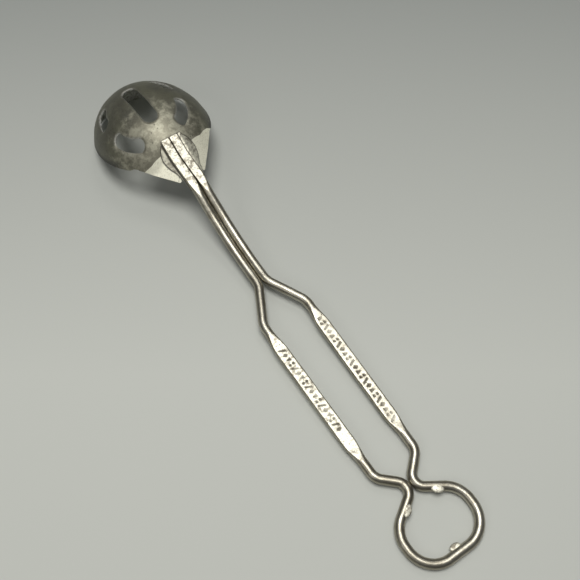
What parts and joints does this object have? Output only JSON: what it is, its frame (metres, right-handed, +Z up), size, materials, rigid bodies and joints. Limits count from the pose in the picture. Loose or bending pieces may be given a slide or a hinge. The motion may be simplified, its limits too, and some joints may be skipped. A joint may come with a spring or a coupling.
{
  "type": "jar lifter",
  "caption": "Slotted pressed-metal spoon on a bent-wire handle with two flattened grips, ending in a wire loop with small lugs for lifting crown caps and jar lids.",
  "frame": {"origin": "centre of the bounding box in plan, on the table that the tool lies on face down", "axes": "+Y from the cap loop along the handle to the tip of the bowl, +Z up through the back of the bowl, +X to the right when looking along +Y"},
  "size_m": [0.06, 0.2892, 0.0349],
  "materials": {
    "wire_steel": "worn, satin",
    "bowl_steel": "tarnished, mottled",
    "saddle_steel": "worn bright"
  },
  "bodies": {
    "root": {"wire_frame": "wire_steel", "tang_saddle": "saddle_steel", "bowl": "bowl_steel"}
  },
  "joints": []
}
